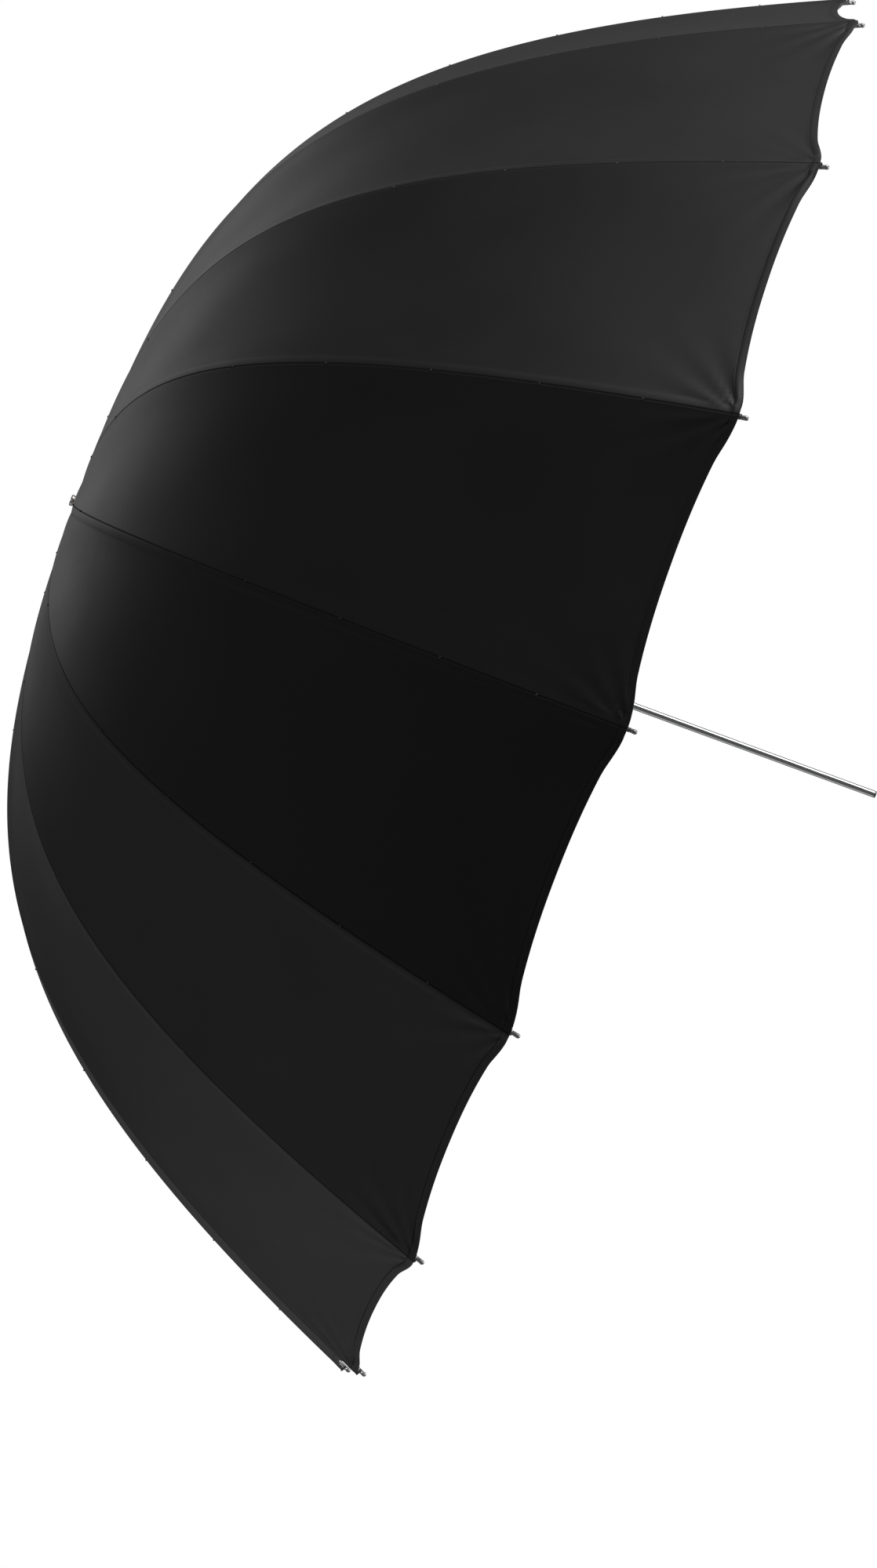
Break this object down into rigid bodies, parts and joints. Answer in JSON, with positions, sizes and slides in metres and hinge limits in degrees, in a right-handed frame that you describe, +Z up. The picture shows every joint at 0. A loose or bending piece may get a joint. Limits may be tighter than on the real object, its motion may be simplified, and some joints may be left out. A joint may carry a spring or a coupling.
{
  "type": "umbrella reflector",
  "caption": "Deep round umbrella reflector, open: black cloth over curved ribs on a straight thin shaft, with crown, struts, sliding runner, spring catch and rim tips.",
  "frame": {"origin": "on the shaft's axis where a light's bracket grips the shaft, 238 mm behind the rim plane", "axes": "+X along the shaft towards its free end, -X towards the crown and ferrule, +Z up; one rib points along -Y"},
  "size_m": [0.972, 1.661, 1.661],
  "materials": {
    "canopy_cloth": "black woven polyester outside, silver coated inside",
    "shaft_chrome": "polished chrome tube",
    "nickel_brass": "satin nickel plate",
    "zinc_steel": "zinc plated steel strip",
    "rib_fibreglass": "pulled fibreglass rod, satin black",
    "black_nylon": "moulded nylon"
  },
  "bodies": {
    "shaft": {"canopy": "canopy_cloth", "shaft_tube": "shaft_chrome", "end_plug": "black_nylon", "ferrule": "nickel_brass", "crown": "black_nylon", "crown_ring": "zinc_steel"},
    "runner": {"runner": "black_nylon"},
    "catch": {"catch_spring": "zinc_steel"},
    "rib_inner_01": {"rib_inner_01": "rib_fibreglass"},
    "rib_outer_01": {"rib_outer_01": "rib_fibreglass"},
    "stretcher_01": {"stretcher_01": "zinc_steel"},
    "rib_inner_02": {"rib_inner_02": "rib_fibreglass"},
    "rib_outer_02": {"rib_outer_02": "rib_fibreglass"},
    "stretcher_02": {"stretcher_02": "zinc_steel"},
    "rib_inner_03": {"rib_inner_03": "rib_fibreglass"},
    "rib_outer_03": {"rib_outer_03": "rib_fibreglass"},
    "stretcher_03": {"stretcher_03": "zinc_steel"},
    "rib_inner_04": {"rib_inner_04": "rib_fibreglass"},
    "rib_outer_04": {"rib_outer_04": "rib_fibreglass"},
    "stretcher_04": {"stretcher_04": "zinc_steel"},
    "rib_inner_05": {"rib_inner_05": "rib_fibreglass"},
    "rib_outer_05": {"rib_outer_05": "rib_fibreglass"},
    "stretcher_05": {"stretcher_05": "zinc_steel"},
    "rib_inner_06": {"rib_inner_06": "rib_fibreglass"},
    "rib_outer_06": {"rib_outer_06": "rib_fibreglass"},
    "stretcher_06": {"stretcher_06": "zinc_steel"},
    "rib_inner_07": {"rib_inner_07": "rib_fibreglass"},
    "rib_outer_07": {"rib_outer_07": "rib_fibreglass"},
    "stretcher_07": {"stretcher_07": "zinc_steel"},
    "rib_inner_08": {"rib_inner_08": "rib_fibreglass"},
    "rib_outer_08": {"rib_outer_08": "rib_fibreglass"},
    "stretcher_08": {"stretcher_08": "zinc_steel"},
    "rib_inner_09": {"rib_inner_09": "rib_fibreglass"},
    "rib_outer_09": {"rib_outer_09": "rib_fibreglass"},
    "stretcher_09": {"stretcher_09": "zinc_steel"},
    "rib_inner_10": {"rib_inner_10": "rib_fibreglass"},
    "rib_outer_10": {"rib_outer_10": "rib_fibreglass"},
    "stretcher_10": {"stretcher_10": "zinc_steel"},
    "rib_inner_11": {"rib_inner_11": "rib_fibreglass"},
    "rib_outer_11": {"rib_outer_11": "rib_fibreglass"},
    "stretcher_11": {"stretcher_11": "zinc_steel"},
    "rib_inner_12": {"rib_inner_12": "rib_fibreglass"},
    "rib_outer_12": {"rib_outer_12": "rib_fibreglass"},
    "stretcher_12": {"stretcher_12": "zinc_steel"},
    "rib_inner_13": {"rib_inner_13": "rib_fibreglass"},
    "rib_outer_13": {"rib_outer_13": "rib_fibreglass"},
    "stretcher_13": {"stretcher_13": "zinc_steel"},
    "rib_inner_14": {"rib_inner_14": "rib_fibreglass"},
    "rib_outer_14": {"rib_outer_14": "rib_fibreglass"},
    "stretcher_14": {"stretcher_14": "zinc_steel"},
    "rib_inner_15": {"rib_inner_15": "rib_fibreglass"},
    "rib_outer_15": {"rib_outer_15": "rib_fibreglass"},
    "stretcher_15": {"stretcher_15": "zinc_steel"},
    "rib_inner_16": {"rib_inner_16": "rib_fibreglass"},
    "rib_outer_16": {"rib_outer_16": "rib_fibreglass"},
    "stretcher_16": {"stretcher_16": "zinc_steel"}
  },
  "joints": [
    {"name": "runner_slide", "type": "slide", "parent": "shaft", "child": "runner", "axis": [1, 0, 0], "range_m": [0, 0.6287], "deforming": ["canopy", "catch_spring"]},
    {"name": "catch_press", "type": "slide", "parent": "shaft", "child": "catch", "axis": [0, 0, 1], "range_m": [0, 0.0022], "stiffness_N_per_m": 400},
    {"name": "rib_pivot_01", "type": "hinge", "parent": "shaft", "child": "rib_inner_01", "pos_m": [-0.8565, -0.017, 0], "axis": [0, 0, 1], "range_deg": [0, 71.5]},
    {"name": "rib_flex_01", "type": "hinge", "parent": "rib_inner_01", "child": "rib_outer_01", "pos_m": [-0.78818, -0.41873, 0], "axis": [0, 0, 1], "range_deg": [-31, 0]},
    {"name": "stretcher_pivot_01", "type": "hinge", "parent": "rib_inner_01", "child": "stretcher_01", "pos_m": [-0.78155, -0.40244, 0], "axis": [0, 0, 1], "range_deg": [-143, 0]},
    {"name": "rib_pivot_02", "type": "hinge", "parent": "shaft", "child": "rib_inner_02", "pos_m": [-0.8565, -0.01571, 0.00651], "axis": [0, 0.3827, 0.9239], "range_deg": [0, 71.5]},
    {"name": "rib_flex_02", "type": "hinge", "parent": "rib_inner_02", "child": "rib_outer_02", "pos_m": [-0.78818, -0.38686, 0.16024], "axis": [0, 0.3827, 0.9239], "range_deg": [-31, 0]},
    {"name": "stretcher_pivot_02", "type": "hinge", "parent": "rib_inner_02", "child": "stretcher_02", "pos_m": [-0.78155, -0.3718, 0.15401], "axis": [0, 0.3827, 0.9239], "range_deg": [-143, 0]},
    {"name": "rib_pivot_03", "type": "hinge", "parent": "shaft", "child": "rib_inner_03", "pos_m": [-0.8565, -0.01202, 0.01202], "axis": [0, 0.7071, 0.7071], "range_deg": [0, 71.5]},
    {"name": "rib_flex_03", "type": "hinge", "parent": "rib_inner_03", "child": "rib_outer_03", "pos_m": [-0.78818, -0.29609, 0.29609], "axis": [0, 0.7071, 0.7071], "range_deg": [-31, 0]},
    {"name": "stretcher_pivot_03", "type": "hinge", "parent": "rib_inner_03", "child": "stretcher_03", "pos_m": [-0.78155, -0.28457, 0.28457], "axis": [0, 0.7071, 0.7071], "range_deg": [-143, 0]},
    {"name": "rib_pivot_04", "type": "hinge", "parent": "shaft", "child": "rib_inner_04", "pos_m": [-0.8565, -0.00651, 0.01571], "axis": [0, 0.9239, 0.3827], "range_deg": [0, 71.5]},
    {"name": "rib_flex_04", "type": "hinge", "parent": "rib_inner_04", "child": "rib_outer_04", "pos_m": [-0.78818, -0.16024, 0.38686], "axis": [0, 0.9239, 0.3827], "range_deg": [-31, 0]},
    {"name": "stretcher_pivot_04", "type": "hinge", "parent": "rib_inner_04", "child": "stretcher_04", "pos_m": [-0.78155, -0.15401, 0.3718], "axis": [0, 0.9239, 0.3827], "range_deg": [-143, 0]},
    {"name": "rib_pivot_05", "type": "hinge", "parent": "shaft", "child": "rib_inner_05", "pos_m": [-0.8565, 0, 0.017], "axis": [0, 1, 0], "range_deg": [0, 71.5]},
    {"name": "rib_flex_05", "type": "hinge", "parent": "rib_inner_05", "child": "rib_outer_05", "pos_m": [-0.78818, 0, 0.41873], "axis": [0, 1, 0], "range_deg": [-31, 0]},
    {"name": "stretcher_pivot_05", "type": "hinge", "parent": "rib_inner_05", "child": "stretcher_05", "pos_m": [-0.78155, 0, 0.40244], "axis": [0, 1, 0], "range_deg": [-143, 0]},
    {"name": "rib_pivot_06", "type": "hinge", "parent": "shaft", "child": "rib_inner_06", "pos_m": [-0.8565, 0.00651, 0.01571], "axis": [0, 0.9239, -0.3827], "range_deg": [0, 71.5]},
    {"name": "rib_flex_06", "type": "hinge", "parent": "rib_inner_06", "child": "rib_outer_06", "pos_m": [-0.78818, 0.16024, 0.38686], "axis": [0, 0.9239, -0.3827], "range_deg": [-31, 0]},
    {"name": "stretcher_pivot_06", "type": "hinge", "parent": "rib_inner_06", "child": "stretcher_06", "pos_m": [-0.78155, 0.15401, 0.3718], "axis": [0, 0.9239, -0.3827], "range_deg": [-143, 0]},
    {"name": "rib_pivot_07", "type": "hinge", "parent": "shaft", "child": "rib_inner_07", "pos_m": [-0.8565, 0.01202, 0.01202], "axis": [0, 0.7071, -0.7071], "range_deg": [0, 71.5]},
    {"name": "rib_flex_07", "type": "hinge", "parent": "rib_inner_07", "child": "rib_outer_07", "pos_m": [-0.78818, 0.29609, 0.29609], "axis": [0, 0.7071, -0.7071], "range_deg": [-31, 0]},
    {"name": "stretcher_pivot_07", "type": "hinge", "parent": "rib_inner_07", "child": "stretcher_07", "pos_m": [-0.78155, 0.28457, 0.28457], "axis": [0, 0.7071, -0.7071], "range_deg": [-143, 0]},
    {"name": "rib_pivot_08", "type": "hinge", "parent": "shaft", "child": "rib_inner_08", "pos_m": [-0.8565, 0.01571, 0.00651], "axis": [0, 0.3827, -0.9239], "range_deg": [0, 71.5]},
    {"name": "rib_flex_08", "type": "hinge", "parent": "rib_inner_08", "child": "rib_outer_08", "pos_m": [-0.78818, 0.38686, 0.16024], "axis": [0, 0.3827, -0.9239], "range_deg": [-31, 0]},
    {"name": "stretcher_pivot_08", "type": "hinge", "parent": "rib_inner_08", "child": "stretcher_08", "pos_m": [-0.78155, 0.3718, 0.15401], "axis": [0, 0.3827, -0.9239], "range_deg": [-143, 0]},
    {"name": "rib_pivot_09", "type": "hinge", "parent": "shaft", "child": "rib_inner_09", "pos_m": [-0.8565, 0.017, 0], "axis": [0, 0, -1], "range_deg": [0, 71.5]},
    {"name": "rib_flex_09", "type": "hinge", "parent": "rib_inner_09", "child": "rib_outer_09", "pos_m": [-0.78818, 0.41873, 0], "axis": [0, 0, -1], "range_deg": [-31, 0]},
    {"name": "stretcher_pivot_09", "type": "hinge", "parent": "rib_inner_09", "child": "stretcher_09", "pos_m": [-0.78155, 0.40244, 0], "axis": [0, 0, -1], "range_deg": [-143, 0]},
    {"name": "rib_pivot_10", "type": "hinge", "parent": "shaft", "child": "rib_inner_10", "pos_m": [-0.8565, 0.01571, -0.00651], "axis": [0, -0.3827, -0.9239], "range_deg": [0, 71.5]},
    {"name": "rib_flex_10", "type": "hinge", "parent": "rib_inner_10", "child": "rib_outer_10", "pos_m": [-0.78818, 0.38686, -0.16024], "axis": [0, -0.3827, -0.9239], "range_deg": [-31, 0]},
    {"name": "stretcher_pivot_10", "type": "hinge", "parent": "rib_inner_10", "child": "stretcher_10", "pos_m": [-0.78155, 0.3718, -0.15401], "axis": [0, -0.3827, -0.9239], "range_deg": [-143, 0]},
    {"name": "rib_pivot_11", "type": "hinge", "parent": "shaft", "child": "rib_inner_11", "pos_m": [-0.8565, 0.01202, -0.01202], "axis": [0, -0.7071, -0.7071], "range_deg": [0, 71.5]},
    {"name": "rib_flex_11", "type": "hinge", "parent": "rib_inner_11", "child": "rib_outer_11", "pos_m": [-0.78818, 0.29609, -0.29609], "axis": [0, -0.7071, -0.7071], "range_deg": [-31, 0]},
    {"name": "stretcher_pivot_11", "type": "hinge", "parent": "rib_inner_11", "child": "stretcher_11", "pos_m": [-0.78155, 0.28457, -0.28457], "axis": [0, -0.7071, -0.7071], "range_deg": [-143, 0]},
    {"name": "rib_pivot_12", "type": "hinge", "parent": "shaft", "child": "rib_inner_12", "pos_m": [-0.8565, 0.00651, -0.01571], "axis": [0, -0.9239, -0.3827], "range_deg": [0, 71.5]},
    {"name": "rib_flex_12", "type": "hinge", "parent": "rib_inner_12", "child": "rib_outer_12", "pos_m": [-0.78818, 0.16024, -0.38686], "axis": [0, -0.9239, -0.3827], "range_deg": [-31, 0]},
    {"name": "stretcher_pivot_12", "type": "hinge", "parent": "rib_inner_12", "child": "stretcher_12", "pos_m": [-0.78155, 0.15401, -0.3718], "axis": [0, -0.9239, -0.3827], "range_deg": [-143, 0]},
    {"name": "rib_pivot_13", "type": "hinge", "parent": "shaft", "child": "rib_inner_13", "pos_m": [-0.8565, 0, -0.017], "axis": [0, -1, 0], "range_deg": [0, 71.5]},
    {"name": "rib_flex_13", "type": "hinge", "parent": "rib_inner_13", "child": "rib_outer_13", "pos_m": [-0.78818, 0, -0.41873], "axis": [0, -1, 0], "range_deg": [-31, 0]},
    {"name": "stretcher_pivot_13", "type": "hinge", "parent": "rib_inner_13", "child": "stretcher_13", "pos_m": [-0.78155, 0, -0.40244], "axis": [0, -1, 0], "range_deg": [-143, 0]},
    {"name": "rib_pivot_14", "type": "hinge", "parent": "shaft", "child": "rib_inner_14", "pos_m": [-0.8565, -0.00651, -0.01571], "axis": [0, -0.9239, 0.3827], "range_deg": [0, 71.5]},
    {"name": "rib_flex_14", "type": "hinge", "parent": "rib_inner_14", "child": "rib_outer_14", "pos_m": [-0.78818, -0.16024, -0.38686], "axis": [0, -0.9239, 0.3827], "range_deg": [-31, 0]},
    {"name": "stretcher_pivot_14", "type": "hinge", "parent": "rib_inner_14", "child": "stretcher_14", "pos_m": [-0.78155, -0.15401, -0.3718], "axis": [0, -0.9239, 0.3827], "range_deg": [-143, 0]},
    {"name": "rib_pivot_15", "type": "hinge", "parent": "shaft", "child": "rib_inner_15", "pos_m": [-0.8565, -0.01202, -0.01202], "axis": [0, -0.7071, 0.7071], "range_deg": [0, 71.5]},
    {"name": "rib_flex_15", "type": "hinge", "parent": "rib_inner_15", "child": "rib_outer_15", "pos_m": [-0.78818, -0.29609, -0.29609], "axis": [0, -0.7071, 0.7071], "range_deg": [-31, 0]},
    {"name": "stretcher_pivot_15", "type": "hinge", "parent": "rib_inner_15", "child": "stretcher_15", "pos_m": [-0.78155, -0.28457, -0.28457], "axis": [0, -0.7071, 0.7071], "range_deg": [-143, 0]},
    {"name": "rib_pivot_16", "type": "hinge", "parent": "shaft", "child": "rib_inner_16", "pos_m": [-0.8565, -0.01571, -0.00651], "axis": [0, -0.3827, 0.9239], "range_deg": [0, 71.5]},
    {"name": "rib_flex_16", "type": "hinge", "parent": "rib_inner_16", "child": "rib_outer_16", "pos_m": [-0.78818, -0.38686, -0.16024], "axis": [0, -0.3827, 0.9239], "range_deg": [-31, 0]},
    {"name": "stretcher_pivot_16", "type": "hinge", "parent": "rib_inner_16", "child": "stretcher_16", "pos_m": [-0.78155, -0.3718, -0.15401], "axis": [0, -0.3827, 0.9239], "range_deg": [-143, 0]}
  ],
  "couplings": [
    {"joint": "rib_pivot_01", "follows": "runner_slide", "rad_per_m": 1.9849},
    {"joint": "rib_flex_01", "follows": "runner_slide", "rad_per_m": -0.86059},
    {"joint": "stretcher_pivot_01", "follows": "runner_slide", "rad_per_m": -3.9698},
    {"joint": "rib_pivot_02", "follows": "runner_slide", "rad_per_m": 1.9849},
    {"joint": "rib_flex_02", "follows": "runner_slide", "rad_per_m": -0.86059},
    {"joint": "stretcher_pivot_02", "follows": "runner_slide", "rad_per_m": -3.9698},
    {"joint": "rib_pivot_03", "follows": "runner_slide", "rad_per_m": 1.9849},
    {"joint": "rib_flex_03", "follows": "runner_slide", "rad_per_m": -0.86059},
    {"joint": "stretcher_pivot_03", "follows": "runner_slide", "rad_per_m": -3.9698},
    {"joint": "rib_pivot_04", "follows": "runner_slide", "rad_per_m": 1.9849},
    {"joint": "rib_flex_04", "follows": "runner_slide", "rad_per_m": -0.86059},
    {"joint": "stretcher_pivot_04", "follows": "runner_slide", "rad_per_m": -3.9698},
    {"joint": "rib_pivot_05", "follows": "runner_slide", "rad_per_m": 1.9849},
    {"joint": "rib_flex_05", "follows": "runner_slide", "rad_per_m": -0.86059},
    {"joint": "stretcher_pivot_05", "follows": "runner_slide", "rad_per_m": -3.9698},
    {"joint": "rib_pivot_06", "follows": "runner_slide", "rad_per_m": 1.9849},
    {"joint": "rib_flex_06", "follows": "runner_slide", "rad_per_m": -0.86059},
    {"joint": "stretcher_pivot_06", "follows": "runner_slide", "rad_per_m": -3.9698},
    {"joint": "rib_pivot_07", "follows": "runner_slide", "rad_per_m": 1.9849},
    {"joint": "rib_flex_07", "follows": "runner_slide", "rad_per_m": -0.86059},
    {"joint": "stretcher_pivot_07", "follows": "runner_slide", "rad_per_m": -3.9698},
    {"joint": "rib_pivot_08", "follows": "runner_slide", "rad_per_m": 1.9849},
    {"joint": "rib_flex_08", "follows": "runner_slide", "rad_per_m": -0.86059},
    {"joint": "stretcher_pivot_08", "follows": "runner_slide", "rad_per_m": -3.9698},
    {"joint": "rib_pivot_09", "follows": "runner_slide", "rad_per_m": 1.9849},
    {"joint": "rib_flex_09", "follows": "runner_slide", "rad_per_m": -0.86059},
    {"joint": "stretcher_pivot_09", "follows": "runner_slide", "rad_per_m": -3.9698},
    {"joint": "rib_pivot_10", "follows": "runner_slide", "rad_per_m": 1.9849},
    {"joint": "rib_flex_10", "follows": "runner_slide", "rad_per_m": -0.86059},
    {"joint": "stretcher_pivot_10", "follows": "runner_slide", "rad_per_m": -3.9698},
    {"joint": "rib_pivot_11", "follows": "runner_slide", "rad_per_m": 1.9849},
    {"joint": "rib_flex_11", "follows": "runner_slide", "rad_per_m": -0.86059},
    {"joint": "stretcher_pivot_11", "follows": "runner_slide", "rad_per_m": -3.9698},
    {"joint": "rib_pivot_12", "follows": "runner_slide", "rad_per_m": 1.9849},
    {"joint": "rib_flex_12", "follows": "runner_slide", "rad_per_m": -0.86059},
    {"joint": "stretcher_pivot_12", "follows": "runner_slide", "rad_per_m": -3.9698},
    {"joint": "rib_pivot_13", "follows": "runner_slide", "rad_per_m": 1.9849},
    {"joint": "rib_flex_13", "follows": "runner_slide", "rad_per_m": -0.86059},
    {"joint": "stretcher_pivot_13", "follows": "runner_slide", "rad_per_m": -3.9698},
    {"joint": "rib_pivot_14", "follows": "runner_slide", "rad_per_m": 1.9849},
    {"joint": "rib_flex_14", "follows": "runner_slide", "rad_per_m": -0.86059},
    {"joint": "stretcher_pivot_14", "follows": "runner_slide", "rad_per_m": -3.9698},
    {"joint": "rib_pivot_15", "follows": "runner_slide", "rad_per_m": 1.9849},
    {"joint": "rib_flex_15", "follows": "runner_slide", "rad_per_m": -0.86059},
    {"joint": "stretcher_pivot_15", "follows": "runner_slide", "rad_per_m": -3.9698},
    {"joint": "rib_pivot_16", "follows": "runner_slide", "rad_per_m": 1.9849},
    {"joint": "rib_flex_16", "follows": "runner_slide", "rad_per_m": -0.86059},
    {"joint": "stretcher_pivot_16", "follows": "runner_slide", "rad_per_m": -3.9698}
  ]
}
